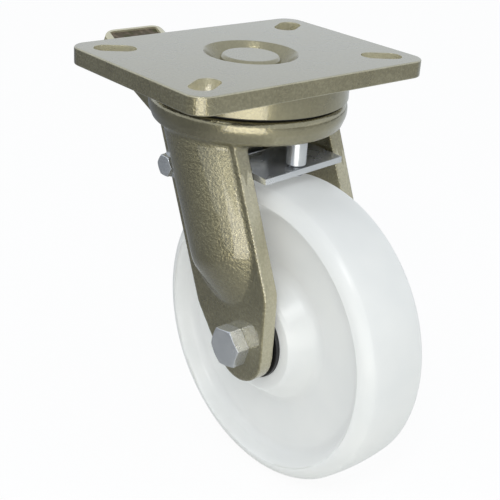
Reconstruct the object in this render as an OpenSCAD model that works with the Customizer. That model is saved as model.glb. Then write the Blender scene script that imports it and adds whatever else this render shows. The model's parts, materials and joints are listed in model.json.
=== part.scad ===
// Heavy-duty swivel castor with a top plate, a forged fork, a solid wheel on two
// ball bearings and a leading foot brake. Millimetres, +Z up, the origin at the
// middle of the top plate's upper face, the wheel trailing towards -X.

/* [Top plate] */
// Length of the plate along the travel direction
plate_x = 133; // [110:1:170]
// Width of the plate across the travel direction
plate_y = 185; // [160:1:230]
// Thickness of the plate
plate_t = 11; // [8:0.5:16]
// Radius of the plate's corners seen from above
plate_corner = 12; // [6:1:20]
// Rounding of the plate's top and bottom edges
plate_edge = 1; // [1:0.5:3]
// Distance of each bolt slot's middle from the plate's middle, along X
slot_mid_x = 45; // [40:0.5:52]
// Distance of each bolt slot's middle from the plate's middle, along Y
slot_mid_y = 71; // [66:0.5:78]
// Width of a bolt slot
slot_w = 15; // [11:0.5:17]
// Length of a bolt slot between the middles of its round ends
slot_run = 11.5; // [4:0.5:16]
// Radius of the round recess over the kingpin head, at the top
recess_r = 30; // [28:0.5:36]
// Depth of the recess
recess_depth = 9.5; // [8:0.1:11]
// Slope of the recess wall: how much narrower its floor is than its rim
recess_taper = 6; // [3:0.5:7]

/* [Swivel head] */
// Outer radius of the upper race and of the fork's crown
head_r = 63.5; // [60:0.5:70]
// Height of the upper race below the plate
race_h = 13.3; // [11:0.1:18]
// Gap between the upper race and the crown
head_gap = 1.4; // [1:0.1:2]
// Height of the fork's crown
crown_h = 16.5; // [16.5:0.5:24]
// How far the crown's lower rim draws in
crown_draft = 3; // [1:0.5:5]
// Diameter of the balls in the upper row
upper_ball_d = 10; // [8:0.1:11]
// Pitch radius of the upper row
upper_pitch_r = 48; // [45:0.5:50]
// Number of balls in the upper row
upper_ball_count = 24; // [16:1:26]
// Diameter of the balls in the lower row
lower_ball_d = 8; // [6:0.1:8.5]
// Pitch radius of the lower row
lower_pitch_r = 27; // [25:0.5:28]
// Number of balls in the lower row
lower_ball_count = 18; // [10:1:18]
// Outer radius of the lower cup
cup_r = 33; // [32:0.5:33.5]
// Thickness of the lower cup
cup_t = 7.3; // [6.5:0.1:9]
// Diameter of the kingpin's shank
kingpin_d = 24; // [20:0.5:28]
// Diameter of the kingpin's head
kingpin_head_d = 39; // [34:0.5:44]
// Thickness of the kingpin's head
kingpin_head_t = 8; // [5:0.1:8]
// Width across the flats of the kingpin nut
kingpin_nut_af = 36; // [32:1:41]
// Height of the kingpin nut
kingpin_nut_h = 9; // [7:0.5:11]
// Width of the rubber dust seal in the gap
seal_w = 5; // [3:0.5:6]

/* [Fork] */
// Least clear width between the legs, which open further for a longer hub
leg_gap = 67; // [66:0.5:80]
// Thickness of a leg
leg_t = 10.5; // [8:0.5:14]
// Reach of a leg behind the swivel axis, at the crown's underside
leg_back = 40.4; // [36:0.1:44]
// Reach of a leg ahead of the swivel axis, at the crown's underside
leg_front = 37.6; // [32:0.1:40]
// Radius of a leg's lower end
leg_end_r = 23; // [20:0.5:27]
// How far the lower end's middle sits behind and below the axle
leg_end_shift = 1.6; // [0:0.1:3]
// Height of the heel, the bend of the trailing edge, above the axle
heel_rise = 41.6; // [34:0.1:50]
// Height of the knee, the bend of the leading edge, above the axle
knee_rise = 12.2; // [8:0.1:20]
// Width of the fillet between a leg's inner face and the crown
gusset_w = 10; // [6:0.5:12]
// Height of that fillet
gusset_h = 6; // [4:0.5:8]
// How far the rounded rib on a leg stands out at its full section
rib_h = 15; // [10:0.5:16]
// Width of the flat flange behind the rib
rib_flange = 4.2; // [3:0.1:7]
// Width of the flat flange ahead of the rib
rib_front_flange = 7.5; // [3:0.1:10]
// Height of the rib's tip above the axle
rib_tip_rise = 25.5; // [22:0.5:32]
// Length over which the rib's end runs out into the leg
rib_run_out = 30; // [20:1:45]

/* [Wheel] */
// Diameter of the wheel
wheel_d = 200; // [170:1:240]
// Width of the tread
tread_w = 53; // [46:0.5:58]
// Radius of the crowned tread's section
tread_crown_r = 150; // [100:10:400]
// Radius of the tread's shoulders
shoulder_r = 13; // [8:0.5:16]
// Distance of the axle behind the swivel axis
trail = 53.7; // [46:0.1:60]
// Length of the hub
hub_len = 60; // [58:0.5:64]
// Radius of the hub at its ends
hub_r = 36; // [33:0.5:42]
// Radius of the hub where it meets the web
hub_root_r = 46; // [44:0.5:54]
// Thickness of the web
web_t = 28; // [18:1:34]
// How far the edge of the side recess climbs the tread's shoulder
rim_lip = 2; // [0.5:0.1:4]
// Depth of the sloped rim wall inside the lip, across the wheel's radius
rim_slope = 6; // [3:0.5:10]
// Radius of the fillets on both sides of the web
dish_round = 9; // [5:0.5:12]

/* [Wheel bearings] */
// Bore of a bearing and outer diameter of the axle sleeve
bearing_bore = 20; // [18.5:0.5:22]
// Outer diameter of a bearing
bearing_od = 47; // [46:0.5:50]
// Width of a bearing
bearing_w = 14; // [12:0.5:16]
// Diameter of a bearing ball
bearing_ball_d = 7.9; // [6:0.1:8.2]
// Number of balls in a bearing
bearing_ball_count = 8; // [6:1:9]
// Depth of a bearing below the hub's end
bearing_inset = 1; // [0.5:0.1:2]
// Outer radius of a dust cap
cap_r = 26; // [25.5:0.1:30]
// How far a dust cap stands out of the hub
cap_proud = 2.3; // [1:0.1:3]

/* [Axle] */
// Diameter of the axle bolt
axle_d = 16; // [12:0.5:16.5]
// Width across the flats of the axle bolt's head and nut
axle_af = 24; // [22:1:27]
// Height of the axle bolt's head
axle_head_h = 10; // [8:0.5:12]
// Height of the axle nut
axle_nut_h = 15; // [12:0.5:18]
// Thickness of the washer under the axle nut
axle_washer_t = 3; // [2:0.5:4]

/* [Brake] */
// Distance from the crown's underside down to the brake shoe
shoe_drop = 16.4; // [13:0.1:18]
// Thickness of the brake shoe
shoe_t = 4; // [3:0.5:5]
// Width of the brake shoe
shoe_w = 63; // [50:0.5:63]
// Clearance between the resting shoe and the tread
shoe_gap = 7.2; // [6.5:0.1:9]
// Overhang of the shoe behind the stud that carries it
shoe_tail = 6.3; // [4:0.1:8]
// Lean of the loosely hung shoe towards one side at rest, in degrees
shoe_lean = 3; // [0:0.5:3]
// Diameter of the stud that carries the shoe
stud_d = 12.5; // [8:0.5:13]
// Distance of the stud behind the swivel axis
stud_back = 51; // [50:0.5:54]
// Distance of the stud from the middle, towards the side of the axle bolt's head
stud_side = 2; // [0:0.5:4]
// Distance of the brake's pivot ahead of the swivel axis
pivot_front = 16; // [12:0.5:18]
// Height of the brake's pivot above the top of the wheel, less than nothing when below
pivot_rise = -1; // [-2:0.5:2]
// Diameter of the pivot bolt
pivot_d = 8; // [6:0.5:8]
// How far the seats of the pivot bolt's washers stand out of the legs
pivot_seat = 3; // [0:0.5:5]
// Width across the flats of the pivot bolt's head and nut
pivot_af = 13; // [11:1:14]
// Width of the brake pedal
pedal_w = 55; // [44:1:56]
// Thickness of the pedal's sheet
pedal_t = 4; // [3:0.5:5]
// Depth of the pedal's cheeks at the pivot
pedal_depth = 16; // [15:0.5:18]
// Depth of the folded channel beyond the neck
pad_depth = 11; // [9:0.5:15]
// Reach of the pedal from its pivot
pedal_reach = 130; // [100:1:140]
// Radius of the corners at the pedal's tip
pedal_corner = 12; // [6:0.5:18]
// Rise of the released pedal from its pivot towards its tip, in degrees
pedal_rise = 22.5; // [20:0.5:25]
// Angle the pedal turns through from released to braked
pedal_swing = 30; // [24:1:32]
// Width of the cam lobe that presses on the shoe
cam_w = 18; // [10:1:20]
// Push of the cam from released to braked
cam_push = 6; // [4:0.1:6]

/* [Hidden] */
$fn = 96;

// Clearances and small allowances
running_gap = 0.1;
pass_gap = 0.4;
overlap = 1;
hull_fn = 32;

// Colours
bronze_paint = "#8f8a72";
zinc = "#b9bec4";
polyamide = "#eef0ee";
bearing_steel = "#9a9da1";
black_rubber = "#1c1c1c";

// Heights down the swivel axis
race_z = -plate_t - race_h;
crown_z = race_z - head_gap;
crown_low_z = crown_z - crown_h;
upper_ball_z = race_z - head_gap / 2;
cup_proud = cup_t / 9;
nut_z = crown_low_z - cup_proud;
cup_z = nut_z + cup_t;
pocket_z = cup_z + head_gap;
lower_ball_z = cup_z + head_gap / 2;
seal_margin = 2;
seal_in_r = max(head_r - seal_margin - seal_w, upper_pitch_r + upper_ball_d / 2 + pass_gap);
kingpin_top_z = -recess_depth + kingpin_head_t;
kingpin_rim = kingpin_head_t / 4;
kingpin_end = kingpin_d / 16;
kingpin_low_z = nut_z - kingpin_nut_h - kingpin_end;

// The brake shoe hangs under the crown and the wheel under the shoe
shoe_z = crown_low_z - shoe_drop;
wheel_top_z = shoe_z - shoe_t - shoe_gap;
wheel_r = wheel_d / 2;
axle_x = -trail;
axle_z = wheel_top_z - wheel_r;

// Across the axle
leg_clear = 0.9;
leg_in = max(leg_gap / 2, hub_len / 2 + cap_proud + leg_clear);
leg_out = leg_in + leg_t;
bearing_out = hub_len / 2 - bearing_inset;
bearing_in = bearing_out - bearing_w;
bearing_pitch_r = (bearing_bore + bearing_od) / 4;
inner_land_r = bearing_pitch_r - bearing_ball_d * 0.4;
outer_land_r = bearing_pitch_r + bearing_ball_d * 0.4;
sleeve_r = bearing_bore / 2;
spacer_r = sleeve_r + 3;
bearing_shoulder = bearing_w / 4;
hub_bore_r = bearing_od / 2 - bearing_shoulder;
hub_edge = hub_r / 18;
axle_head_turn = 12;

// The leg's outline in the XZ plane
leg_end = [axle_x - leg_end_shift, axle_z - leg_end_shift];
heel = [leg_end.x - leg_end_r, axle_z + heel_rise];
leg_slope = (heel.x + leg_back) / (heel.y - crown_low_z);
leg_rake = atan(leg_slope);
leg_top_z = crown_z - crown_h / 2;
knee_z = axle_z + knee_rise;
knee = [leg_front + leg_slope * (knee_z - crown_low_z), knee_z];
heel_round = 16;
knee_round = 20;
crown_low_round = crown_h / 6;
crown_side_round = crown_h * 0.55;
crown_top_round = crown_h / 4;

// The rib, measured along the leg from the crown's underside
leg_mid_x = (leg_front - leg_back) / 2;
rib_mid_x = leg_mid_x - (rib_front_flange - rib_flange) / 2 / cos(leg_rake);
rib_half_w = ((leg_front + leg_back) * cos(leg_rake) - rib_flange - rib_front_flange) / 2;
rib_r = (rib_half_w * rib_half_w + rib_h * rib_h) / (2 * rib_h);
rib_tip = (crown_low_z - axle_z - rib_tip_rise) / cos(leg_rake);

// The brake: the cam presses on the shoe where the pivot stands over the tread
pivot_x = pivot_front;
pivot_z = wheel_top_z + pivot_rise;
tread_angle = atan2(pivot_z - axle_z, pivot_x - axle_x);
pivot_over_axle = norm([pivot_x - axle_x, pivot_z - axle_z]);
shoe_out_r = wheel_r + shoe_gap + shoe_t;
cam_rest_gap = 1;
cam_reach = pivot_over_axle - shoe_out_r - cam_rest_gap;
cam_r = cam_reach + cam_push / 2;
cam_offset = cam_push / (2 * sin(pedal_swing / 2));
cam_rest_angle = tread_angle - 180 + 90 + pedal_swing / 2;
pedal_hub_r = pedal_depth / 2;
pedal_fold = 1.5 * pedal_t;
neck_top = pedal_hub_r - pedal_fold;
channel_low = pedal_depth / 2 - pad_depth;
neck_clear = 3;
neck_end = (head_r + neck_clear - pivot_x) / cos(pedal_rise);
pedal_toe = pedal_depth / 3;
pivot_sleeve_r = pivot_d / 2 + 1.5;
pivot_washer_t = 1.6;
pivot_washer_r = pivot_af / 2 + 1.5;
pivot_boss_r = pivot_washer_r + 0.5;
spot_face_r = pivot_washer_r + 3;
pivot_out = leg_out + pivot_seat;
pivot_head_h = 4.5;
pivot_nut_h = 8;

// The shoe's side view: flat over the wheel's top, then down along the tread
shoe_bend_x = axle_x + (shoe_out_r - (shoe_z - axle_z) * sin(tread_angle)) / cos(tread_angle);
shoe_foot = cam_offset * cos(pedal_swing / 2) + 1.25 * shoe_t;
stud_neck_r = stud_d / 4;
stud_tenon_d = stud_d * 0.7;
stud_play = 1;

// Shared shapes
function unit(v) = v / norm(v);

// One corner of an outline, rounded to radius r between its neighbours a and c
function corner_arc(a, b, c, r, steps) =
    let (
        u = unit(a - b),
        v = unit(c - b),
        half = acos(u * v) / 2,
        mid = b + unit(u + v) * r / sin(half),
        p = b + u * r / tan(half),
        q = b + v * r / tan(half),
        start = atan2(p.y - mid.y, p.x - mid.x),
        turn = atan2(q.y - mid.y, q.x - mid.x) - start,
        sweep = turn > 180 ? turn - 360 : turn < -180 ? turn + 360 : turn
    )
    [for (i = [0:steps]) mid + r * [cos(start + sweep * i / steps), sin(start + sweep * i / steps)]];

// An outline with each corner rounded to its own radius, 0 for a sharp one
function rounded(points, radii, steps = 8) =
    let (count = len(points))
    [for (i = [0:count - 1]) each radii[i] == 0 ? [points[i]] : corner_arc(
        points[(i + count - 1) % count], points[i], points[(i + 1) % count], radii[i], steps)];

// Where a line from a point just touches a circle, on its clockwise side
function touch_point(from, mid, r) =
    let (d = from - mid, a = atan2(d.y, d.x) - acos(r / norm(d)))
    mid + r * [cos(a), sin(a)];

// Turns a drawing in the XZ plane into a slab between two values of Y
module slab_y(y0, y1) {
    translate([0, y1, 0]) rotate([90, 0, 0]) linear_extrude(y1 - y0) children();
}

// Stands a shape made along Z on the wheel's axis, its Z along +Y
module on_axle() {
    translate([axle_x, 0, axle_z]) rotate([-90, 0, 0]) children();
}

// Stands a shape made along Z on the brake's pivot, its Z along +Y
module on_pivot() {
    translate([pivot_x, 0, pivot_z]) rotate([-90, 0, 0]) children();
}

// A ring about Z between two heights
module ring(r_in, r_out, z0, z1) {
    translate([0, 0, z0]) difference() {
        cylinder(r = r_out, h = z1 - z0);
        translate([0, 0, -overlap]) cylinder(r = r_in, h = z1 - z0 + 2 * overlap);
    }
}

// A hexagonal prism about Z, measured across its flats
module hex_prism(af, z0, z1) {
    translate([0, 0, z0]) cylinder(d = af / cos(30), h = z1 - z0, $fn = 6);
}

// A hexagon with its corners turned down to a cone at the end that faces away from z_seat
module hex_head(af, z_seat, z_end) {
    height = abs(z_end - z_seat);
    corner_r = af / 2 / cos(30);
    lost = corner_r - af / 2;
    translate([0, 0, z_seat]) mirror([0, 0, z_end < z_seat ? 1 : 0]) intersection() {
        hex_prism(af, 0, height);
        rotate_extrude() polygon([[0, 0], [corner_r + lost, 0], [corner_r + lost, height - lost],
            [af / 2 - lost / 2, height], [0, height]]);
    }
}

// A row of balls about Z
module ball_row(count, d, pitch_r, z) {
    for (i = [0:count - 1])
        rotate([0, 0, i * 360 / count]) translate([pitch_r, 0, z]) sphere(d = d);
}

// The channel that a row of balls runs in
module ball_groove(d, pitch_r, z) {
    translate([0, 0, z]) rotate_extrude() translate([pitch_r, 0]) circle(r = d / 2 + running_gap);
}

// Top plate and swivel head

// The plate's body, its edges rounded above and below
module plate_body() {
    hull() for (sx = [-1, 1], sy = [-1, 1])
        translate([sx * (plate_x / 2 - plate_corner), sy * (plate_y / 2 - plate_corner), -plate_edge])
            plate_corner_post();
}

// One corner post of the plate: a disc with a round edge
module plate_corner_post() {
    for (z = [0, 2 * plate_edge - plate_t]) translate([0, 0, z])
        rotate_extrude($fn = hull_fn) {
            translate([plate_corner - plate_edge, 0]) intersection() {
                circle(r = plate_edge, $fn = hull_fn / 2);
                translate([0, -plate_edge]) square([plate_edge, 2 * plate_edge]);
            }
            translate([0, -plate_edge]) square([plate_corner - plate_edge, 2 * plate_edge]);
        }
}

// A bolt slot that points away from the plate's middle
module bolt_slot() {
    height = plate_t + 2 * overlap;
    translate([0, 0, -plate_t - overlap]) {
        for (s = [-1, 1]) translate([s * slot_run / 2, 0, 0]) cylinder(d = slot_w, h = height);
        translate([-slot_run / 2, -slot_w / 2, 0]) cube([slot_run, slot_w, height]);
    }
}

module top_plate() {
    color(bronze_paint) difference() {
        union() {
            plate_body();
            translate([0, 0, race_z]) cylinder(r = head_r, h = race_h + plate_t / 2);
        }
        for (sx = [-1, 1], sy = [-1, 1])
            translate([sx * slot_mid_x, sy * slot_mid_y, 0])
                rotate([0, 0, atan2(sy * slot_mid_y, sx * slot_mid_x)]) bolt_slot();
        translate([0, 0, -recess_depth])
            cylinder(r1 = recess_r - recess_taper, r2 = recess_r, h = recess_depth);
        cylinder(r = recess_r, h = overlap);
        translate([0, 0, race_z - overlap]) cylinder(d = kingpin_d, h = race_h + plate_t + overlap);
        ball_groove(upper_ball_d, upper_pitch_r, upper_ball_z);
    }
}

module kingpin() {
    color(bronze_paint) union() {
        translate([0, 0, -recess_depth]) cylinder(d = kingpin_head_d, h = kingpin_head_t - kingpin_rim);
        translate([0, 0, kingpin_top_z - kingpin_rim])
            cylinder(d1 = kingpin_head_d, d2 = kingpin_head_d - 2 * kingpin_rim, h = kingpin_rim);
        translate([0, 0, kingpin_low_z]) cylinder(d = kingpin_d, h = -recess_depth - kingpin_low_z);
    }
}

module kingpin_nut() {
    color(zinc) difference() {
        hex_head(kingpin_nut_af, nut_z, nut_z - kingpin_nut_h);
        translate([0, 0, nut_z - kingpin_nut_h - overlap])
            cylinder(d = kingpin_d, h = kingpin_nut_h + 2 * overlap);
    }
}

module lower_cup() {
    color(bearing_steel) difference() {
        ring(kingpin_d / 2, cup_r, nut_z, cup_z);
        ball_groove(lower_ball_d, lower_pitch_r, lower_ball_z);
    }
}

module dust_seal() {
    seal_t = head_gap - pass_gap;
    color(black_rubber) ring(seal_in_r, seal_in_r + seal_w, race_z - seal_t, race_z);
}

module upper_balls() {
    color(bearing_steel) ball_row(upper_ball_count, upper_ball_d, upper_pitch_r, upper_ball_z);
}

module lower_balls() {
    color(bearing_steel) ball_row(lower_ball_count, lower_ball_d, lower_pitch_r, lower_ball_z);
}

// Fork

// The crown: a thick disc whose lower rim draws in
module crown_body() {
    rotate_extrude() polygon(rounded(
        [[0, crown_low_z], [head_r - crown_draft, crown_low_z], [head_r, crown_z - crown_h / 2],
            [head_r, crown_z], [0, crown_z]],
        [0, crown_low_round, crown_side_round, crown_top_round, 0]));
}

// A leg's outline: raked from the crown to the heel and the knee, round under the axle
module leg_outline() {
    top_back = [-leg_back + leg_slope * (leg_top_z - crown_low_z), leg_top_z];
    top_front = [leg_front + leg_slope * (leg_top_z - crown_low_z), leg_top_z];
    end_back = [heel.x, leg_end.y];
    end_front = touch_point(knee, leg_end, leg_end_r);
    polygon(rounded([top_back, heel, end_back, leg_end, end_front, knee, top_front],
        [0, heel_round, 0, 0, 0, knee_round, 0]));
    translate(leg_end) circle(r = leg_end_r);
}

// The rib's section: part of a round, flat where it meets the leg
module rib_section() {
    intersection() {
        translate([0, rib_h - rib_r]) circle(r = rib_r, $fn = 4 * hull_fn);
        translate([-rib_half_w, 0]) square([2 * rib_half_w, rib_h]);
    }
}

// A thin slice of the rib square to the leg, standing out by rise
module rib_slice(along, rise) {
    translate([rib_mid_x, leg_out, crown_low_z]) rotate([0, leg_rake, 0])
        translate([0, rise - rib_h, -along]) linear_extrude(0.1) rib_section();
}

// A thin level slice of the rib inside the crown
module rib_top_slice() {
    top_x = rib_mid_x + leg_slope * (leg_top_z - crown_low_z);
    translate([top_x, leg_out, leg_top_z]) linear_extrude(0.1)
        scale([1 / cos(leg_rake), 1]) rib_section();
}

// The rounded rib on a leg's outer face, running out above the axle
module leg_rib() {
    intersection() {
        hull() {
            rib_top_slice();
            rib_slice(rib_tip - rib_run_out, rib_h);
            rib_slice(rib_tip, 0);
        }
        translate([axle_x - wheel_r, leg_out - leg_t / 2, axle_z - wheel_r])
            cube([2 * wheel_d, leg_t + rib_h, 2 * wheel_d]);
    }
}

// The hollow fillet inside the top of a leg, under the crown
module leg_gusset() {
    arc_steps = 8;
    hollow = [for (i = [0:arc_steps]) let (a = 90 * i / arc_steps)
        [leg_in - gusset_w * (1 - sin(a)), crown_low_z - gusset_h * (1 - cos(a))]];
    intersection() {
        slab_y(leg_in - gusset_w, leg_in + overlap) leg_outline();
        translate([axle_x - wheel_r, 0, 0]) rotate([90, 0, 90]) linear_extrude(wheel_d)
            polygon(concat(hollow, [[leg_in + overlap, crown_low_z - gusset_h],
                [leg_in + overlap, crown_low_z + overlap], [leg_in - gusset_w, crown_low_z + overlap]]));
    }
}

// The near leg with its rib
module leg() {
    slab_y(leg_in, leg_out) leg_outline();
    leg_rib();
    leg_gusset();
}

module fork() {
    through = 4 * leg_out;
    color(bronze_paint) difference() {
        union() {
            crown_body();
            leg();
            mirror([0, 1, 0]) leg();
            on_pivot() for (s = [0, 1]) mirror([0, 0, s])
                translate([0, 0, leg_out - leg_t / 2])
                    cylinder(r = pivot_boss_r, h = pivot_seat + leg_t / 2);
        }
        translate([0, 0, crown_low_z - overlap])
            cylinder(r = kingpin_d / 2 + pass_gap, h = crown_h + 2 * overlap);
        translate([0, 0, crown_low_z - gusset_h - overlap])
            cylinder(r = cup_r + pass_gap, h = pocket_z - crown_low_z + gusset_h + overlap);
        ball_groove(upper_ball_d, upper_pitch_r, upper_ball_z);
        ball_groove(lower_ball_d, lower_pitch_r, lower_ball_z);
        on_axle() cylinder(d = axle_d, h = through, center = true);
        on_pivot() {
            cylinder(d = pivot_d, h = through, center = true);
            for (s = [0, 1]) mirror([0, 0, s])
                translate([0, 0, pivot_out]) cylinder(r = spot_face_r, h = through);
        }
        translate([-stud_back, stud_side, crown_low_z - overlap])
            cylinder(d = stud_tenon_d, h = crown_h / 3 + overlap);
    }
}

// Axle and wheel bearings

module axle_bolt() {
    tail = leg_out + axle_washer_t + axle_nut_h + 2;
    color(zinc) on_axle() union() {
        rotate([0, 0, axle_head_turn]) hex_head(axle_af, leg_out, leg_out + axle_head_h);
        translate([0, 0, -tail]) cylinder(d = axle_d, h = tail + leg_out + overlap);
    }
}

// A lock nut: a hexagon with a round collar that holds its insert
module lock_nut(af, bore, z_seat, h) {
    hex_h = h * 0.72;
    difference() {
        union() {
            hex_head(af, z_seat, z_seat + hex_h);
            translate([0, 0, z_seat + hex_h / 2]) cylinder(d = af * 0.92, h = h - hex_h / 2);
        }
        translate([0, 0, z_seat - overlap]) cylinder(d = bore, h = h + 2 * overlap);
    }
}

module axle_nut() {
    color(zinc) on_axle() mirror([0, 0, 1])
        lock_nut(axle_af, axle_d, leg_out + axle_washer_t, axle_nut_h);
}

module axle_washer() {
    color(zinc) on_axle()
        ring(axle_d / 2, axle_af / 2 + 3, -leg_out - axle_washer_t, -leg_out);
}

module axle_sleeve() {
    color(bearing_steel) on_axle() ring(axle_d / 2, sleeve_r, -leg_in, leg_in);
}

module bearing_spacer() {
    color(bearing_steel) on_axle() ring(sleeve_r, spacer_r - 0.5, -bearing_in, bearing_in);
}

// A ring that fills the axle between a bearing and a leg; side is 1 near and -1 far
module spacer_ring(side) {
    color(zinc) on_axle() ring(sleeve_r, spacer_r, min(side * bearing_out, side * leg_in),
        max(side * bearing_out, side * leg_in));
}

module inner_ring(side) {
    color(bearing_steel) on_axle() difference() {
        ring(sleeve_r, inner_land_r, min(side * bearing_in, side * bearing_out),
            max(side * bearing_in, side * bearing_out));
        ball_groove(bearing_ball_d, bearing_pitch_r, side * (bearing_in + bearing_out) / 2);
    }
}

module outer_ring(side) {
    color(bearing_steel) on_axle() difference() {
        ring(outer_land_r, bearing_od / 2, min(side * bearing_in, side * bearing_out),
            max(side * bearing_in, side * bearing_out));
        ball_groove(bearing_ball_d, bearing_pitch_r, side * (bearing_in + bearing_out) / 2);
    }
}

module bearing_balls(side) {
    color(bearing_steel) on_axle() ball_row(bearing_ball_count, bearing_ball_d, bearing_pitch_r,
        side * (bearing_in + bearing_out) / 2);
}

// The cage keeps a bearing's balls apart in round pockets
module cage(side) {
    cage_half_t = bearing_ball_d * 0.18;
    cage_half_w = bearing_ball_d * 0.62;
    mid = (bearing_in + bearing_out) / 2;
    pitch = 360 / bearing_ball_count;
    color(bearing_steel) on_axle() mirror([0, 0, side < 0 ? 1 : 0]) difference() {
        rotate([0, 0, pitch / 2]) ring(bearing_pitch_r - cage_half_t, bearing_pitch_r + cage_half_t,
            mid - cage_half_w, mid + cage_half_w);
        for (i = [0:bearing_ball_count - 1]) rotate([0, 0, i * pitch])
            translate([0, 0, mid]) rotate([0, 90, 0])
                cylinder(r = bearing_ball_d / 2 + running_gap, h = bearing_od / 2);
    }
}

module bearing_seal(side) {
    seal_t = 1;
    color(black_rubber) on_axle()
        ring(inner_land_r + pass_gap, outer_land_r,
            min(side * bearing_out, side * (bearing_out - seal_t)),
            max(side * bearing_out, side * (bearing_out - seal_t)));
}

module dust_cap(side) {
    cap_end = hub_len / 2 + cap_proud;
    color(black_rubber) on_axle()
        ring(spacer_r + pass_gap, cap_r, min(side * bearing_out, side * cap_end),
            max(side * bearing_out, side * cap_end));
}

// Wheel

// Half of the wheel's side recess: rim wall, web and hub cone, as radius and depth
module wheel_dish() {
    lip_r = wheel_r - shoulder_r + rim_lip;
    side_y = tread_w / 2;
    web_y = web_t / 2;
    past = hub_len;
    polygon(rounded(
        [[lip_r, side_y], [lip_r - rim_slope, web_y], [hub_root_r, web_y],
            [hub_r, hub_len / 2 - hub_edge], [hub_r - hub_edge, hub_len / 2], [hub_r - hub_edge, past],
            [lip_r, past]],
        [0, dish_round, dish_round, 1.5 * hub_edge, 0, 0, 0]));
}

// The wheel's section on one side of its axis
module wheel_section() {
    side_y = tread_w / 2;
    shoulder_y = side_y - shoulder_r;
    difference() {
        union() {
            intersection() {
                union() {
                    translate([0, -side_y]) square([wheel_r - shoulder_r, tread_w]);
                    translate([0, -shoulder_y]) square([wheel_r, 2 * shoulder_y]);
                    for (s = [-1, 1]) translate([wheel_r - shoulder_r, s * shoulder_y])
                        circle(r = shoulder_r);
                }
                translate([wheel_r - tread_crown_r, 0]) circle(r = tread_crown_r);
            }
            translate([0, -hub_len / 2]) square([hub_root_r, hub_len]);
        }
        for (s = [0, 1]) mirror([0, s]) wheel_dish();
    }
}

module wheel() {
    color(polyamide) on_axle() difference() {
        rotate_extrude($fn = 180) wheel_section();
        cylinder(r = hub_bore_r, h = 2 * hub_len, center = true);
        for (s = [0, 1]) mirror([0, 0, s]) {
            translate([0, 0, bearing_in]) cylinder(d = bearing_od, h = hub_len);
            translate([0, 0, bearing_out]) cylinder(r = cap_r, h = hub_len);
        }
    }
}

// Brake

module pivot_bolt() {
    seat = pivot_out + pivot_washer_t;
    color(zinc) on_pivot() union() {
        hex_head(pivot_af, seat, seat + pivot_head_h);
        translate([0, 0, -seat - 0.95 * pivot_nut_h])
            cylinder(d = pivot_d, h = 2 * seat + 0.95 * pivot_nut_h + overlap);
    }
}

module pivot_nut() {
    color(zinc) on_pivot() mirror([0, 0, 1])
        lock_nut(pivot_af, pivot_d, pivot_out + pivot_washer_t, pivot_nut_h);
}

module pivot_washers() {
    color(zinc) on_pivot() for (s = [0, 1]) mirror([0, 0, s])
        ring(pivot_d / 2, pivot_washer_r, pivot_out, pivot_out + pivot_washer_t);
}

module pivot_sleeve() {
    color(zinc) on_pivot() ring(pivot_d / 2, pivot_sleeve_r, -leg_in, leg_in);
}

// The stud stands under the crown; its neck passes through the shoe to a riveted head
module shoe_stud() {
    head_h = 1.6;
    slack = 1.2;
    color(zinc) translate([-stud_back, stud_side, 0]) union() {
        translate([0, 0, crown_low_z]) cylinder(d = stud_tenon_d, h = crown_h / 3);
        translate([0, 0, shoe_z + slack]) cylinder(d = stud_d, h = shoe_drop - slack);
        translate([0, 0, shoe_z - shoe_t - slack]) cylinder(r = stud_neck_r, h = shoe_t + 2 * slack);
        translate([0, 0, shoe_z - shoe_t - slack - head_h])
            cylinder(r1 = stud_neck_r, r2 = stud_neck_r + 2, h = head_h);
    }
}

// The pedal in its own frame: the pivot at the origin, +X along the pedal
module pedal_frame() {
    translate([pivot_x, 0, pivot_z]) rotate([0, -pedal_rise, 0]) children();
}

// The pedal's folded channel seen from its end: a top between two cheeks
module pedal_channel() {
    half_w = pedal_w / 2;
    half_d = pedal_depth / 2;
    inner = half_w - pedal_t;
    polygon(rounded(
        [[-half_w, -half_d], [-inner, -half_d], [-inner, half_d - pedal_t], [inner, half_d - pedal_t],
            [inner, -half_d], [half_w, -half_d], [half_w, half_d], [-half_w, half_d]],
        [0, 0, pedal_fold - pedal_t, pedal_fold - pedal_t, 0, 0, pedal_fold, pedal_fold]));
}

// The channel's side view, from the neck to the tip
module pedal_channel_side() {
    half_d = pedal_depth / 2;
    polygon(rounded(
        [[neck_end, channel_low], [pedal_reach, channel_low], [pedal_reach, half_d],
            [neck_end + pedal_toe, half_d], [neck_end, neck_top]],
        [0, pedal_toe, 0, 0, 0]));
}

// A cheek's side view: a round hub and a neck that tapers to the channel and passes under the crown
module pedal_cheek_side() {
    circle(r = pedal_hub_r);
    polygon([[0, -pedal_hub_r], [neck_end, channel_low], [neck_end + overlap, channel_low],
        [neck_end + overlap, neck_top], [0, neck_top]]);
}

// The pedal's tip seen from above, its corners rounded
module pedal_plan() {
    half_w = pedal_w / 2;
    polygon(rounded([[0, -half_w], [pedal_reach, -half_w], [pedal_reach, half_w], [0, half_w]],
        [0, pedal_corner, pedal_corner, 0]));
}

module brake_pedal() {
    half_w = pedal_w / 2;
    color(bronze_paint) difference() {
        pedal_frame() union() {
            intersection() {
                rotate([90, 0, 90]) linear_extrude(pedal_reach) pedal_channel();
                slab_y(-pedal_w, pedal_w) pedal_channel_side();
                translate([0, 0, -pedal_depth]) linear_extrude(2 * pedal_depth) pedal_plan();
            }
            for (s = [0, 1]) mirror([0, s, 0]) slab_y(half_w - pedal_t, half_w) pedal_cheek_side();
        }
        on_pivot() cylinder(r = pivot_sleeve_r + running_gap, h = 2 * pedal_w, center = true);
    }
}

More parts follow.
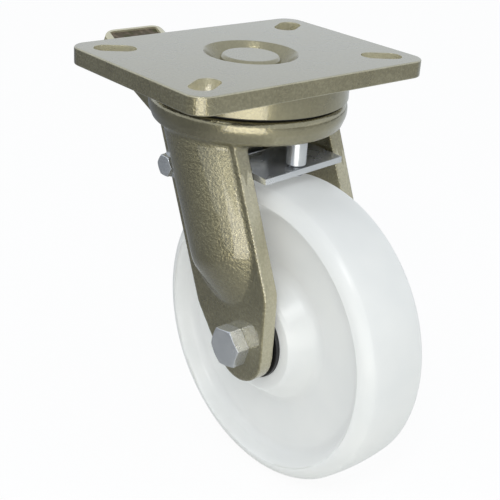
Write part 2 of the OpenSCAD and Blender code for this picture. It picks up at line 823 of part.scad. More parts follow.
// A tube between the pedal's cheeks with an off-centre lobe that bears on the shoe
module brake_cam() {
    half_w = pedal_w / 2 - pedal_t;
    lobe = cam_offset * [cos(cam_rest_angle), sin(cam_rest_angle)];
    color(zinc) difference() {
        union() {
            on_pivot() cylinder(r = pedal_hub_r, h = 2 * half_w, center = true);
            translate([lobe.x, 0, lobe.y]) on_pivot() cylinder(r = cam_r, h = cam_w, center = true);
        }
        on_pivot() cylinder(r = pivot_sleeve_r + running_gap, h = 2 * pedal_w, center = true);
    }
}

// The shoe's side view: flat behind, bent down along the tread in front
module shoe_side() {
    along = [sin(tread_angle), -cos(tread_angle)];
    over = [cos(tread_angle), sin(tread_angle)];
    bend = [shoe_bend_x, shoe_z];
    under_shift = shoe_t * tan((90 - tread_angle) / 2);
    under = bend - [under_shift, shoe_t];
    front_len = (pivot_x - bend.x) * along.x + (pivot_z - bend.y) * along.y + shoe_foot;
    tail_x = -stud_back - shoe_tail;
    polygon(rounded(
        [[tail_x, shoe_z - shoe_t], under, bend + along * front_len - over * shoe_t,
            bend + along * front_len, bend, [tail_x, shoe_z]],
        [0, 2, 0, 0, 2 + shoe_t, 0]));
}

module brake_shoe() {
    hole_r = stud_neck_r + stud_play;
    color(zinc) translate([0, 0, shoe_z - shoe_t / 2]) rotate([-shoe_lean, 0, 0])
        translate([0, 0, shoe_t / 2 - shoe_z]) difference() {
            slab_y(-shoe_w / 2, shoe_w / 2) shoe_side();
            translate([-stud_back, stud_side, shoe_z - 2 * shoe_t]) cylinder(r = hole_r, h = 3 * shoe_t);
        }
}

top_plate();
kingpin();
kingpin_nut();
lower_cup();
dust_seal();
upper_balls();
lower_balls();
fork();
axle_bolt();
axle_nut();
axle_washer();
axle_sleeve();
bearing_spacer();
spacer_ring(1);  // near_spacer_ring
spacer_ring(-1);  // far_spacer_ring
inner_ring(1);  // near_inner_ring
inner_ring(-1);  // far_inner_ring
pivot_bolt();
pivot_nut();
pivot_washers();
pivot_sleeve();
shoe_stud();
wheel();
outer_ring(1);  // near_outer_ring
outer_ring(-1);  // far_outer_ring
bearing_seal(1);  // near_bearing_seal
bearing_seal(-1);  // far_bearing_seal
dust_cap(1);  // near_dust_cap
dust_cap(-1);  // far_dust_cap
bearing_balls(1);  // near_balls
bearing_balls(-1);  // far_balls
cage(1);  // near_cage
cage(-1);  // far_cage
brake_pedal();
brake_cam();
brake_shoe();
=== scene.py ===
"""Looks of a heavy-duty swivel castor: bronze-painted forgings, zinc-plated steel and a white wheel."""
import json
import math

import bpy
from mathutils import Matrix, Vector


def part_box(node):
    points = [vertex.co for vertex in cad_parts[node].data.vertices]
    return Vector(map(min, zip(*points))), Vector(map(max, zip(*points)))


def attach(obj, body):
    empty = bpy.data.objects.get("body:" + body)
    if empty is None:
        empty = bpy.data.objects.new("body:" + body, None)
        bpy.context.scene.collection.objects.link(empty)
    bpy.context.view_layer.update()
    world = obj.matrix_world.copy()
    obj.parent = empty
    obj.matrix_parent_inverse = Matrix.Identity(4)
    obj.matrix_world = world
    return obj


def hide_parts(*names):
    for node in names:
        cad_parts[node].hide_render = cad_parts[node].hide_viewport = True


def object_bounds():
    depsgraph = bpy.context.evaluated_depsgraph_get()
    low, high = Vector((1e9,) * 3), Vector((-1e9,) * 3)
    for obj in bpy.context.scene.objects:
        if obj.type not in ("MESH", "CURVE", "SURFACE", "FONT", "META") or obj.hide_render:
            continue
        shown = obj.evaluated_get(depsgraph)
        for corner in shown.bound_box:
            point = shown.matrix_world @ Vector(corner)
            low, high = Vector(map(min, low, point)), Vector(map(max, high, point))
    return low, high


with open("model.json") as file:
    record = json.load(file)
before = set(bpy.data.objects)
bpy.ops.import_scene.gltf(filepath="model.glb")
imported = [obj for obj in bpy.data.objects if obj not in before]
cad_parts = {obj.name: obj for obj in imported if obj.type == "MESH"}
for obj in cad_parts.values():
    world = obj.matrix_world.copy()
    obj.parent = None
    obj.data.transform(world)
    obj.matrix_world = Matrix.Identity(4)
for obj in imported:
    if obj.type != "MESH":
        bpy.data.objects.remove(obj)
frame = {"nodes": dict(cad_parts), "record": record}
cad_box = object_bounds()
nodes = frame["nodes"]
body_of_node = {}
for body_name, members in frame["record"]["behaviour"]["bodies"].items():
    for member in members:
        body_of_node[member] = body_name
slot_of_node = {part["node"]: part["material_slot"] for part in frame["record"]["subparts"]}

MM = 0.001

# Camera, fitted to the photograph's plate corners, wheel and axle

CAMERA_PLACE = Vector((-484.07, 418.61, 157.55)) * MM
CAMERA_RIGHT = Vector((-0.6406, -0.76539, 0.06168))
CAMERA_UP = Vector((0.3563, -0.22513, 0.90684))
CAMERA_BACK = Vector((-0.68021, 0.6029, 0.41693))
FOCAL_PIXELS = 1035.85
PHOTO_PIXELS = 500
SENSOR_WIDTH = 36.0
CLIP_NEAR = 0.01
CLIP_FAR = 20


def make_camera():
    """Puts the camera where the photograph was taken from."""
    data = bpy.data.cameras.new("photo_camera")
    data.sensor_width = SENSOR_WIDTH
    data.lens = FOCAL_PIXELS / PHOTO_PIXELS * SENSOR_WIDTH
    data.clip_start = CLIP_NEAR
    data.clip_end = CLIP_FAR
    camera = bpy.data.objects.new("photo_camera", data)
    bpy.context.scene.collection.objects.link(camera)
    turn = Matrix((CAMERA_RIGHT, CAMERA_UP, CAMERA_BACK)).transposed().to_4x4()
    camera.matrix_world = Matrix.Translation(CAMERA_PLACE) @ turn
    bpy.context.scene.camera = camera


# Node and colour helpers

NOISE_LOW = 0.3
NOISE_HIGH = 0.7


def linear(hex_colour):
    """An sRGB hex colour as linear red, green, blue and full alpha."""
    parts = [int(hex_colour[i:i + 2], 16) / 255 for i in (1, 3, 5)]
    return [p / 12.92 if p <= 0.04045 else ((p + 0.055) / 1.055) ** 2.4 for p in parts] + [1.0]


def add(tree, kind, settings=None, values=None, links=None):
    """Adds a node with its settings, its fixed input values and its links from other sockets."""
    made = tree.nodes.new(kind)
    for key, value in (settings or {}).items():
        setattr(made, key, value)
    for key, value in (values or {}).items():
        made.inputs[key].default_value = value
    for key, socket in (links or {}).items():
        tree.links.new(socket, made.inputs[key])
    return made


def new_material(name):
    """An empty node material, with its tree and the object's own coordinates."""
    material = bpy.data.materials.new(name)
    material.use_nodes = True
    tree = material.node_tree
    tree.nodes.clear()
    place = add(tree, "ShaderNodeTexCoord").outputs["Object"]
    return material, tree, place


def close_material(tree, shader):
    add(tree, "ShaderNodeOutputMaterial", links={"Surface": shader.outputs[0]})


def ramp(tree, factor, stops):
    """A colour ramp of position and hex colour pairs."""
    made = add(tree, "ShaderNodeValToRGB", links={"Fac": factor})
    elements = made.color_ramp.elements
    while len(elements) < len(stops):
        elements.new(1.0)
    for element, (position, colour) in zip(elements, stops):
        element.position = position
        element.color = linear(colour)
    return made.outputs["Color"]


def two_tone(tree, factor, shades):
    """A soft change between two hex colours over the middle of a noise."""
    return ramp(tree, factor, [(NOISE_LOW, shades[0]), (NOISE_HIGH, shades[1])])


def vary(tree, factor, low, high):
    """A value that goes from low to high over the middle of a noise."""
    made = add(tree, "ShaderNodeMapRange",
               values={"From Min": NOISE_LOW, "From Max": NOISE_HIGH, "To Min": low, "To Max": high},
               links={"Value": factor})
    return made.outputs["Result"]


def noise(tree, place, size_mm, detail, roughness=0.5):
    """A noise whose features are about this many millimetres across."""
    made = add(tree, "ShaderNodeTexNoise",
               values={"Scale": 1.0 / (size_mm * MM), "Detail": detail, "Roughness": roughness},
               links={"Vector": place})
    return made.outputs["Fac"]


def bump(tree, height, strength, depth, under=None):
    """A surface direction bent by a height, on top of another bump where one is given."""
    links = {"Height": height}
    if under is not None:
        links["Normal"] = under
    made = add(tree, "ShaderNodeBump", values={"Strength": strength, "Distance": depth}, links=links)
    return made.outputs["Normal"]


# Materials

BRONZE = ("#8C8566", "#9A9374")
# Painted highlight bronze, for edges that catch the light.
HIGHLIGHT_BRONZE = ("#B4AD8F", "#C8C2A6")
# Painted shade bronze, nearly black, for the plate's underside.
SHADE_BRONZE = ("#1C1A14", "#24211A")
# Painted light bronze, for the slot walls and the pedal's rim.
PAINTED_LIGHT_BRONZE = ("#D0C9AA", "#E0DABF")
BRONZE_SPECKS = [(0.34, "#625C42"), (0.5, "#918A6C"), (0.66, "#BBB494")]
PATCH_MM = 28
FLAKE_MM = 0.9
FLAKE_DEPTH = 0.05 * MM
CLEAR_COAT = {"Coat Weight": 1.0, "Coat IOR": 1.72, "Coat Roughness": 0.1}


def bronze_paint(name, pit_mm, pit_depth_mm, sparkle, shades=BRONZE, metal=0.85, rough=(0.25, 0.32)):
    """Metallic enamel over steel: grey-gold flakes in a clear skin, darker in broad patches.
    The pitted skin of the steel underneath breaks the highlights into sparkles."""
    material, tree, place = new_material(name)
    patches = noise(tree, place, PATCH_MM, detail=3.0)
    pits = noise(tree, place, pit_mm, detail=2.5, roughness=0.6)
    flakes = noise(tree, place, FLAKE_MM, detail=1.0)
    broad = two_tone(tree, patches, shades)
    specks = ramp(tree, pits, BRONZE_SPECKS)
    colour = add(tree, "ShaderNodeMix", settings={"data_type": "RGBA"}, values={"Factor": sparkle},
                 links={"A": broad, "B": specks})
    skin = bump(tree, pits, 1.0, pit_depth_mm * MM)
    grain = bump(tree, flakes, 0.5, FLAKE_DEPTH, skin)
    shader = add(tree, "ShaderNodeBsdfPrincipled", values={"Metallic": metal, "IOR": 1.5, **CLEAR_COAT},
                 links={"Base Color": colour.outputs["Result"], "Normal": grain,
                        "Roughness": vary(tree, patches, rough[0], rough[1])})
    close_material(tree, shader)
    return material


def tray_shade_paint():
    """The pedal's tray floor: bronze enamel darkened to a mottled brown and green as painted shade."""
    material, tree, place = new_material("bronze_enamel_painted_shade_in_tray")
    mottle = noise(tree, place, 5, detail=4.0)
    colour = ramp(tree, mottle, [(0.35, "#4B4A2E"), (0.5, "#5C5142"), (0.65, "#7A6C5A")])
    shader = add(tree, "ShaderNodeBsdfPrincipled", values={"Roughness": 0.7},
                 links={"Base Color": colour, "Normal": bump(tree, mottle, 0.6, 0.3 * MM)})
    close_material(tree, shader)
    return material


def zinc_plate():
    """Bright zinc plating: bluish-white metal, with a faint cloudiness left by the bath."""
    material, tree, place = new_material("bright_zinc_plated_steel")
    cloud = noise(tree, place, 12, detail=2.0)
    shader = add(tree, "ShaderNodeBsdfPrincipled", values={"Metallic": 0.8},
                 links={"Base Color": two_tone(tree, cloud, ("#D0D3D6", "#DCDEE0")),
                        "Roughness": vary(tree, cloud, 0.22, 0.28)})
    close_material(tree, shader)
    return material


def bearing_steel():
    """Ground and hardened steel: a darker grey metal with a fine grain."""
    material, tree, place = new_material("ground_bearing_steel")
    grain = noise(tree, place, 1.5, detail=3.0)
    shader = add(tree, "ShaderNodeBsdfPrincipled", values={"Metallic": 1.0, "Roughness": 0.28},
                 links={"Base Color": two_tone(tree, grain, ("#85878A", "#A4A6A9"))})
    close_material(tree, shader)
    return material


WHEEL_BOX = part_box("wheel")
WHEEL_MIDDLE = (WHEEL_BOX[0] + WHEEL_BOX[1]) / 2
ACROSS_AXLE = (1.0, 0.0, 1.0)
# The crease ring is a painted shade line: a grey ring, in patches, along the edge of the tread's lip.
CREASE_RADIUS = 89 * MM
CREASE_WIDTH = 0.8 * MM
CREASE_STRENGTH = 0.6
CREASE_SHADE_COLOUR = "#7E7E74"


def crease_shade(tree, place, cloud):
    """How much painted shade lies on a spot of the wheel: patches of a narrow ring along the crease."""
    from_middle = add(tree, "ShaderNodeVectorMath", settings={"operation": "SUBTRACT"},
                      values={1: WHEEL_MIDDLE}, links={0: place})
    level = add(tree, "ShaderNodeVectorMath", settings={"operation": "MULTIPLY"},
                values={1: ACROSS_AXLE}, links={0: from_middle.outputs["Vector"]})
    radius = add(tree, "ShaderNodeVectorMath", settings={"operation": "LENGTH"},
                 links={0: level.outputs["Vector"]})
    off_crease = add(tree, "ShaderNodeMath", settings={"operation": "SUBTRACT"},
                     values={1: CREASE_RADIUS}, links={0: radius.outputs["Value"]})
    aside = add(tree, "ShaderNodeMath", settings={"operation": "ABSOLUTE"},
                links={0: off_crease.outputs["Value"]})
    ring = add(tree, "ShaderNodeMapRange",
               values={"From Min": 0.0, "From Max": CREASE_WIDTH, "To Min": CREASE_STRENGTH, "To Max": 0.0},
               links={"Value": aside.outputs["Value"]})
    patchy = add(tree, "ShaderNodeMapRange", values={"From Min": 0.4, "From Max": 0.6},
                 links={"Value": cloud})
    shade_line = add(tree, "ShaderNodeMath", settings={"operation": "MULTIPLY"},
               links={0: ring.outputs["Result"], 1: patchy.outputs["Result"]})
    return shade_line.outputs["Value"]


def white_polyamide():
    """Cast polyamide, turned after casting: slightly milky white with a satin skin and a painted glow that
    lifts its shade, and a painted grey shade line in patches along the crease between the tread and the
    dished side."""
    material, tree, place = new_material("white_cast_polyamide")
    cloud = noise(tree, place, 35, detail=2.0)
    unshaded = two_tone(tree, cloud, ("#C0C2C1", "#C7C8C6"))
    colour = add(tree, "ShaderNodeMix", settings={"data_type": "RGBA"}, values={"B": linear(CREASE_SHADE_COLOUR)},
                 links={"Factor": crease_shade(tree, place, cloud), "A": unshaded})
    skin = noise(tree, place, 1.8, detail=2.0)
    # The emission is a painted glow: it stands in for light carried through the nylon and lifts the wheel's
    # shade.
    shader = add(tree, "ShaderNodeBsdfPrincipled",
                 values={"Roughness": 0.32, "IOR": 1.53, "Emission Color": linear("#E8EAE8"),
                         "Emission Strength": 0.29, "Subsurface Weight": 0.6,
                         "Subsurface Scale": 14 * MM, "Subsurface Radius": (1.0, 1.0, 1.0)},
                 links={"Base Color": colour.outputs["Result"], "Normal": bump(tree, skin, 0.06, 0.1 * MM)})
    close_material(tree, shader)
    return material


def black_moulding(name, roughness):
    """A black moulding, rubber or plastic: nearly black, with a fine matt grain."""
    material, tree, place = new_material(name)
    grain = noise(tree, place, 0.8, detail=2.0)
    shader = add(tree, "ShaderNodeBsdfPrincipled", values={"Roughness": roughness},
                 links={"Base Color": two_tone(tree, grain, ("#161616", "#232323")),
                        "Normal": bump(tree, grain, 0.2, 0.1 * MM)})
    close_material(tree, shader)
    return material


FINISHES = {
    "bronze_paint": bronze_paint("bronze_enamel_on_rolled_steel", pit_mm=1.8, pit_depth_mm=0.12,
                                 sparkle=0.1),
    "zinc_plate": zinc_plate(),
    "bearing_steel": bearing_steel(),
    "white_polyamide": white_polyamide(),
    "black_rubber": black_moulding("moulded_black_rubber", roughness=0.6),
    "black_plastic": black_moulding("moulded_black_plastic", roughness=0.4),
}
FORGED_FINISH = bronze_paint("bronze_enamel_on_forged_steel", pit_mm=1.6, pit_depth_mm=0.75, sparkle=0.25)
CROWN_FINISH = bronze_paint("bronze_enamel_on_turned_crown", pit_mm=2.0, pit_depth_mm=0.25, sparkle=0.15,
                            metal=0.9, rough=(0.2, 0.27))
SAWN_FINISH = bronze_paint("bronze_enamel_on_sawn_steel", pit_mm=1.6, pit_depth_mm=0.5, sparkle=0.25)
# Slot walls: paint lightened as painted light, standing in for light bounced inside the slots.
SLOT_LIGHT_FINISH = bronze_paint("bronze_enamel_painted_light_in_slots", pit_mm=1.8, pit_depth_mm=0.4, sparkle=0.2,
                           shades=PAINTED_LIGHT_BRONZE, metal=0.38)
# Edges and the legs' trailing faces: paler paint as a painted highlight, and on the trailing faces a
# painted reflection of the bright wheel.
EDGE_HIGHLIGHT_FINISH = bronze_paint("bronze_enamel_painted_highlight_on_edges", pit_mm=1.6, pit_depth_mm=0.5, sparkle=0.25,
                           shades=HIGHLIGHT_BRONZE, metal=0.7)
# Underside of the plate: nearly black paint as painted shade, which darkens its reflection in the crown.
UNDER_SHADE_FINISH = bronze_paint("bronze_enamel_painted_shade_under_plate", pit_mm=1.8, pit_depth_mm=0.2, sparkle=0.0,
                            shades=SHADE_BRONZE, metal=0.5)
# Pedal rim: pale paint as a painted highlight where light catches the rim.
RIM_HIGHLIGHT_FINISH = bronze_paint("bronze_enamel_painted_highlight_on_rim", pit_mm=1.6, pit_depth_mm=0.1, sparkle=0.1,
                             shades=PAINTED_LIGHT_BRONZE, metal=0.5)
# Pedal tray floor: mottled dark paint as painted shade.
TRAY_SHADE_FINISH = tray_shade_paint()

# Modelling helpers

MERGE_DISTANCE = 0.005 * MM
FLAT_ANGLE = math.radians(0.6)
BEVEL_ANGLE = math.radians(30)
SMOOTH_ANGLE = math.radians(35)
FORGED_SMOOTH_ANGLE = math.radians(60)


def only(piece):
    """Selects one piece and nothing else."""
    bpy.ops.object.select_all(action="DESELECT")
    piece.select_set(True)
    bpy.context.view_layer.objects.active = piece


def edit_faces(piece, wanted):
    """Opens a piece in edit mode with only the wanted faces selected."""
    only(piece)
    bpy.ops.object.mode_set(mode="EDIT")
    bpy.ops.mesh.select_mode(type="FACE")
    bpy.ops.mesh.select_all(action="DESELECT")
    bpy.ops.object.mode_set(mode="OBJECT")
    for face in piece.data.polygons:
        face.select = face.index in wanted
    bpy.ops.object.mode_set(mode="EDIT")


def apply_modifier(piece, kind, **settings):
    only(piece)
    modifier = piece.modifiers.new(kind.lower(), kind)
    for key, value in settings.items():
        setattr(modifier, key, value)
    bpy.ops.object.modifier_apply(modifier=modifier.name)


def ease_edges(piece, width_mm):
    """Eases the sharp edges of a piece by a small bevel."""
    apply_modifier(piece, "BEVEL", width=width_mm * MM, segments=2, limit_method="ANGLE",
                   angle_limit=BEVEL_ANGLE, use_clamp_overlap=True)


def even_normals(piece):
    """Keeps the large flat faces flat in the shading."""
    apply_modifier(piece, "WEIGHTED_NORMAL", keep_sharp=True, weight=100)


def copy_of_node(name):
    """A merged copy of a solid's mesh, to be finished as a piece of its own."""
    source = nodes[name]
    data = source.data.copy()
    data.materials.clear()
    piece = bpy.data.objects.new(name + "_finished", data)
    bpy.context.scene.collection.objects.link(piece)
    only(piece)
    bpy.ops.object.mode_set(mode="EDIT")
    bpy.ops.mesh.select_all(action="SELECT")
    bpy.ops.mesh.remove_doubles(threshold=MERGE_DISTANCE)
    bpy.ops.mesh.dissolve_limited(angle_limit=FLAT_ANGLE)
    bpy.ops.object.mode_set(mode="OBJECT")
    return piece


def finish_piece(piece, name, smooth_angle=SMOOTH_ANGLE):
    """Gives a finished piece its material and its body, and hides the solid that it stands for."""
    only(piece)
    bpy.ops.object.shade_smooth_by_angle(angle=smooth_angle)
    even_normals(piece)
    slot = slot_of_node[name]
    piece.data.materials.clear()
    piece.data.materials.append(FINISHES[slot])
    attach(piece, body_of_node[name])
    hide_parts(name)
    return piece


def eased(name, width_mm):
    """A machined or folded piece with eased edges."""
    piece = copy_of_node(name)
    ease_edges(piece, width_mm)
    return finish_piece(piece, name)


# Fork: a forging with filled inner corners, soft ribs and a round crown

CROWN_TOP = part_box("fork")[1].z
CROWN_RADIUS = 63.5 * MM
CROWN_ROUND = 4.5 * MM
CROWN_DEPTH = 14 * MM
LEG_FACE = -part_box("axle_washer")[1].y
LEG_TOP = -58 * MM
TRAILING_NORMAL = -0.8
RIB_TOP = -84 * MM
RIB_PROUD = 1.2 * MM
RIB_PASSES = 140
FORK_KEPT_FACES = 0.45
FORK_FORGED, FORK_EDGE_HIGHLIGHT, FORK_CROWN = range(3)


def round_crown(piece):
    """Draws the crown's upper rim in to a rounded shoulder."""
    centre = CROWN_TOP - CROWN_ROUND
    for vertex in piece.data.vertices:
        rise = vertex.co.z - centre
        if rise < 0:
            continue
        reach = math.hypot(vertex.co.x, vertex.co.y)
        limit = CROWN_RADIUS - CROWN_ROUND + math.sqrt(max(CROWN_ROUND ** 2 - rise ** 2, 0.0))
        if reach > limit:
            vertex.co.x *= limit / reach
            vertex.co.y *= limit / reach


def soften_ribs(piece):
    """Blends the facets where the ribs run out, over about 5 mm."""
    group = piece.vertex_groups.new(name="ribs")
    chosen = [v.index for v in piece.data.vertices
              if abs(v.co.y) > LEG_FACE + RIB_PROUD and v.co.z < RIB_TOP]
    group.add(chosen, 1.0, "ADD")
    apply_modifier(piece, "SMOOTH", factor=0.5, iterations=RIB_PASSES, vertex_group=group.name)
    piece.vertex_groups.clear()


def forged_fork(name, voxel_mm, fillet_mm):
    """The fork: its inner corners filled to a radius by swelling the solid and shrinking it back."""
    piece = copy_of_node(name)
    apply_modifier(piece, "REMESH", mode="VOXEL", voxel_size=voxel_mm * MM)
    for swell in (fillet_mm * MM, -fillet_mm * MM):
        apply_modifier(piece, "DISPLACE", strength=swell, mid_level=0.0)
        apply_modifier(piece, "REMESH", mode="VOXEL", voxel_size=voxel_mm * MM)
    apply_modifier(piece, "SMOOTH", factor=0.5, iterations=1)
    soften_ribs(piece)
    round_crown(piece)
    apply_modifier(piece, "DECIMATE", ratio=FORK_KEPT_FACES)
    finish_piece(piece, name, FORGED_SMOOTH_ANGLE)
    piece.data.materials[FORK_FORGED] = FORGED_FINISH
    piece.data.materials.append(EDGE_HIGHLIGHT_FINISH)
    piece.data.materials.append(CROWN_FINISH)
    for face in piece.data.polygons:
        if face.center.z > CROWN_TOP - CROWN_DEPTH:
            face.material_index = FORK_CROWN
        # The legs' trailing faces get the painted highlight finish, a painted reflection of the bright
        # wheel.
        within_legs = abs(face.center.y) < LEG_FACE and face.center.z < LEG_TOP
        if within_legs and face.normal.x < TRAILING_NORMAL:
            face.material_index = FORK_EDGE_HIGHLIGHT


# Plate: painted light in its slots, painted highlights on its edges, painted shade underneath

PLATE_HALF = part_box("top_plate")[1]
PLATE_UNDER = -11.5 * MM
SLOT_MIDDLE = Vector((45.0, 71.0)) * MM
SLOT_REACH = 15.5 * MM
SIDE_DEPTH = 9 * MM
LEVEL_NORMAL = 0.97
UPRIGHT_NORMAL = 0.3
PLATE_SAWN, PLATE_SLOT_LIGHT, PLATE_EDGE_HIGHLIGHT, PLATE_UNDER_SHADE = range(1, 5)


def painted_plate(name, width_mm):
    """The plate: rolled flat faces, rougher sides, painted light in the slots, painted highlights on the
    edges and painted shade underneath.
    """
    piece = eased(name, width_mm)
    for finish in (SAWN_FINISH, SLOT_LIGHT_FINISH, EDGE_HIGHLIGHT_FINISH, UNDER_SHADE_FINISH):
        piece.data.materials.append(finish)
    for face in piece.data.polygons:
        if face.center.z < PLATE_UNDER:
            continue
        # Downward level faces get the painted shade finish.
        if abs(face.normal.z) > LEVEL_NORMAL:
            if face.normal.z < 0:
                face.material_index = PLATE_UNDER_SHADE
            continue
        upright = abs(face.normal.z) < UPRIGHT_NORMAL
        place = Vector((abs(face.center.x), abs(face.center.y)))
        # Upright faces in the slots get the painted light finish; the slot rims get the painted highlight
        # finish.
        if (place - SLOT_MIDDLE).length < SLOT_REACH:
            face.material_index = PLATE_SLOT_LIGHT if upright else PLATE_EDGE_HIGHLIGHT
        # Sloped faces along the sides get the painted highlight finish; upright sides get the sawn finish.
        elif place.x > PLATE_HALF.x - SIDE_DEPTH or place.y > PLATE_HALF.y - SIDE_DEPTH:
            face.material_index = PLATE_SAWN if upright else PLATE_EDGE_HIGHLIGHT


# Pedal: a shallow tray with its toe turned up

PEDAL_RISE = math.radians(22.5)
PEDAL_PIVOT = Vector((16.0, 0.0, -70.8)) * MM
PAD_ALONG = Vector((math.cos(PEDAL_RISE), 0.0, math.sin(PEDAL_RISE)))
PAD_UP = Vector((-math.sin(PEDAL_RISE), 0.0, math.cos(PEDAL_RISE)))
PAD_START = 62 * MM
PAD_TOP = 8 * MM
PAD_RIM = 1.6 * MM
PAD_WALL = 0.2 * PAD_RIM
PAD_DEPTH = 1.5 * MM
RIM_FOOT = -0.9 * PAD_DEPTH
FLOOR_FOOT = -1.1 * PAD_DEPTH
FLOOR_NORMAL = 0.9
PAD_NORMAL = 0.999
TOE_FOLDS = [place * MM for place in (96, 104, 112, 120)]
TOE_TURN = math.radians(1.0)
FOLD_MARGIN = 0.01 * MM
PEDAL_RIM_HIGHLIGHT, PEDAL_FLOOR_SHADE = range(1, 3)


def turn_up_toe(piece):
    """Bends the pedal's end upwards a little, in a few small folds."""
    only(piece)
    bpy.ops.object.mode_set(mode="EDIT")
    for distance in TOE_FOLDS:
        bpy.ops.mesh.select_all(action="SELECT")
        bpy.ops.mesh.bisect(plane_co=PEDAL_PIVOT + PAD_ALONG * distance, plane_no=PAD_ALONG)
    bpy.ops.object.mode_set(mode="OBJECT")
    fold_turn = Matrix.Rotation(-TOE_TURN, 4, "Y")
    for vertex in piece.data.vertices:
        along = (vertex.co - PEDAL_PIVOT).dot(PAD_ALONG)
        turn = Matrix.Identity(4)
        for distance in TOE_FOLDS:
            if along < distance + FOLD_MARGIN:
                continue
            fold = Matrix.Translation(PEDAL_PIVOT + PAD_ALONG * distance)
            turn = turn @ fold @ fold_turn @ fold.inverted()
        vertex.co = turn @ vertex.co


def tray_pedal(name, width_mm):
    """The pedal: a shallow tray with a painted highlight on its rim and painted shade on its floor."""
    piece = copy_of_node(name)
    level = [face for face in piece.data.polygons if face.normal.dot(PAD_UP) > PAD_NORMAL]
    pad = max(level, key=lambda face: face.area)
    edit_faces(piece, {pad.index})
    bpy.ops.mesh.inset(thickness=PAD_RIM, depth=0.0)
    bpy.ops.mesh.inset(thickness=PAD_WALL, depth=-PAD_DEPTH)
    bpy.ops.object.mode_set(mode="OBJECT")
    ease_edges(piece, width_mm)
    finish_piece(piece, name)
    piece.data.materials.append(RIM_HIGHLIGHT_FINISH)
    piece.data.materials.append(TRAY_SHADE_FINISH)
    for face in piece.data.polygons:
        place = face.center - PEDAL_PIVOT
        height = place.dot(PAD_UP) - PAD_TOP
        if place.dot(PAD_ALONG) < PAD_START:
            continue
        # The tray's rim gets the painted highlight finish.
        if height > RIM_FOOT:
            face.material_index = PEDAL_RIM_HIGHLIGHT
        # The tray's floor gets the painted shade finish.
        elif height > FLOOR_FOOT and face.normal.dot(PAD_UP) > FLOOR_NORMAL:
            face.material_index = PEDAL_FLOOR_SHADE
    turn_up_toe(piece)
    even_normals(piece)


# Pieces

EASED_MM = {
    "kingpin": 0.8, "brake_shoe": 0.5, "shoe_stud": 0.4, "axle_bolt": 0.4, "axle_nut": 0.4,
    "axle_washer": 0.4, "pivot_bolt": 0.3, "pivot_nut": 0.3, "pivot_washers": 0.25,
    "near_dust_cap": 0.5, "far_dust_cap": 0.5, "near_spacer_ring": 0.3, "far_spacer_ring": 0.3,
    "kingpin_nut": 0.5, "lower_cup": 0.5, "brake_cam": 0.5, "wheel": 0.6,
}

forged_fork("fork", voxel_mm=0.85, fillet_mm=1.6)
tray_pedal("brake_pedal", width_mm=0.8)
painted_plate("top_plate", width_mm=0.8)
for part_name, edge_mm in EASED_MM.items():
    eased(part_name, edge_mm)

for node_name, node_object in nodes.items():
    if node_object.hide_render:
        continue
    node_object.data.materials.clear()
    node_object.data.materials.append(FINISHES[slot_of_node[node_name]])
    only(node_object)
    bpy.ops.object.shade_smooth_by_angle(angle=SMOOTH_ANGLE)

# Stage: a pale floor under the wheel, white surroundings and soft lamps

WHITE = (1.0, 1.0, 1.0, 1.0)
SKY = (0.93, 0.98, 1.04, 1.0)
FLOOR_SIZE = 8.0
FLOOR_DARK = "#88898A"
FLOOR_MIDDLE = "#BCBCB8"
FLOOR_LIGHT = "#DADAD6"
FLOOR_STOPS = [(0.0, FLOOR_DARK), (0.28, FLOOR_LIGHT), (0.7, FLOOR_LIGHT), (0.83, FLOOR_MIDDLE),
               (0.95, FLOOR_DARK)]
ACROSS_FLOOR = (-0.75, -0.66, 0.0)
ACROSS_START = -0.25
ACROSS_END = 1.25
WARM_WHITE = (1.0, 0.97, 0.9)
SOFT_WHITE = (1.0, 0.98, 0.94)


def make_world(ambient, mirrored):
    """White to the camera; a cool, dimmer studio to the light that falls on the object."""
    world = bpy.data.worlds.new("white_studio")
    bpy.context.scene.world = world
    world.use_nodes = True
    tree = world.node_tree
    tree.nodes.clear()
    path = add(tree, "ShaderNodeLightPath")
    dim = add(tree, "ShaderNodeMapRange", values={"To Min": ambient, "To Max": mirrored},
              links={"Value": path.outputs["Is Glossy Ray"]})
    studio = add(tree, "ShaderNodeBackground", values={"Color": SKY},
                 links={"Strength": dim.outputs["Result"]})
    backdrop = add(tree, "ShaderNodeBackground", values={"Color": WHITE, "Strength": 1.0})
    both = add(tree, "ShaderNodeMixShader", links={0: path.outputs["Is Camera Ray"],
                                                   1: studio.outputs[0], 2: backdrop.outputs[0]})
    add(tree, "ShaderNodeOutputWorld", links={"Surface": both.outputs[0]})


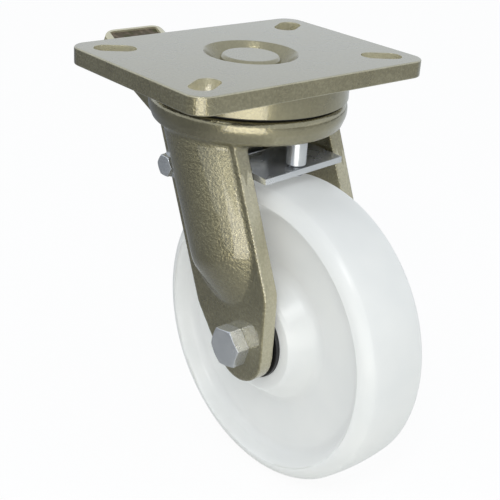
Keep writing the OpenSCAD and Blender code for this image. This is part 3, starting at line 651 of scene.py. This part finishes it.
def make_floor(glow):
    """A pale floor: to the camera mostly the backdrop's white, with a part that takes the shadow.
    The light that it throws back is strongest beside the wheel and weaker at both ends."""
    bpy.ops.object.select_all(action="DESELECT")
    bpy.ops.mesh.primitive_plane_add(size=FLOOR_SIZE, location=(0, 0, cad_box[0].z))
    floor = bpy.context.object
    floor.name = "studio_floor"
    material, tree, place = new_material("pale_studio_floor")
    path = add(tree, "ShaderNodeLightPath")
    share = add(tree, "ShaderNodeMapRange", values={"To Min": 0.0, "To Max": glow},
                links={"Value": path.outputs["Is Camera Ray"]})
    across = add(tree, "ShaderNodeVectorMath", settings={"operation": "DOT_PRODUCT"},
                 values={1: ACROSS_FLOOR}, links={0: place})
    spread = add(tree, "ShaderNodeMapRange", values={"From Min": ACROSS_START, "From Max": ACROSS_END},
                 links={"Value": across.outputs["Value"]})
    thrown = ramp(tree, spread.outputs["Result"], FLOOR_STOPS)
    shade = add(tree, "ShaderNodeMix", settings={"data_type": "RGBA"}, values={"B": WHITE},
                links={"Factor": path.outputs["Is Camera Ray"], "A": thrown})
    pale = add(tree, "ShaderNodeBsdfDiffuse", links={"Color": shade.outputs["Result"]})
    white = add(tree, "ShaderNodeEmission", values={"Color": WHITE, "Strength": 1.0})
    both = add(tree, "ShaderNodeMixShader", links={0: share.outputs["Result"], 1: pale.outputs[0],
                                                   2: white.outputs[0]})
    close_material(tree, both)
    floor.data.materials.append(material)


def make_lamp(name, place, target, size, power, colour=(1.0, 1.0, 1.0)):
    """A square soft lamp that the camera doesn't see."""
    data = bpy.data.lights.new(name, "AREA")
    data.shape = "SQUARE"
    data.size = size
    data.energy = power
    data.color = colour
    lamp = bpy.data.objects.new(name, data)
    bpy.context.scene.collection.objects.link(lamp)
    lamp.location = Vector(place)
    lamp.visible_camera = False
    lamp.rotation_euler = (Vector(target) - Vector(place)).to_track_quat("-Z", "Y").to_euler()


make_camera()
make_world(ambient=0.8, mirrored=0.8)
make_floor(glow=0.9)
make_lamp("key_lamp", (-0.7, 0.8, 0.85), target=(0, 0, -0.1), size=0.3, power=3.5)
make_lamp("front_card", (-0.45, 0.40, -0.2), target=(0, 0, -0.04), size=0.5, power=1.7, colour=WARM_WHITE)
make_lamp("right_card", (-0.7, -0.55, 0.0), target=(0, 0, -0.06), size=0.5, power=0.12, colour=SOFT_WHITE)
bpy.context.scene.view_settings.view_transform = "Standard"
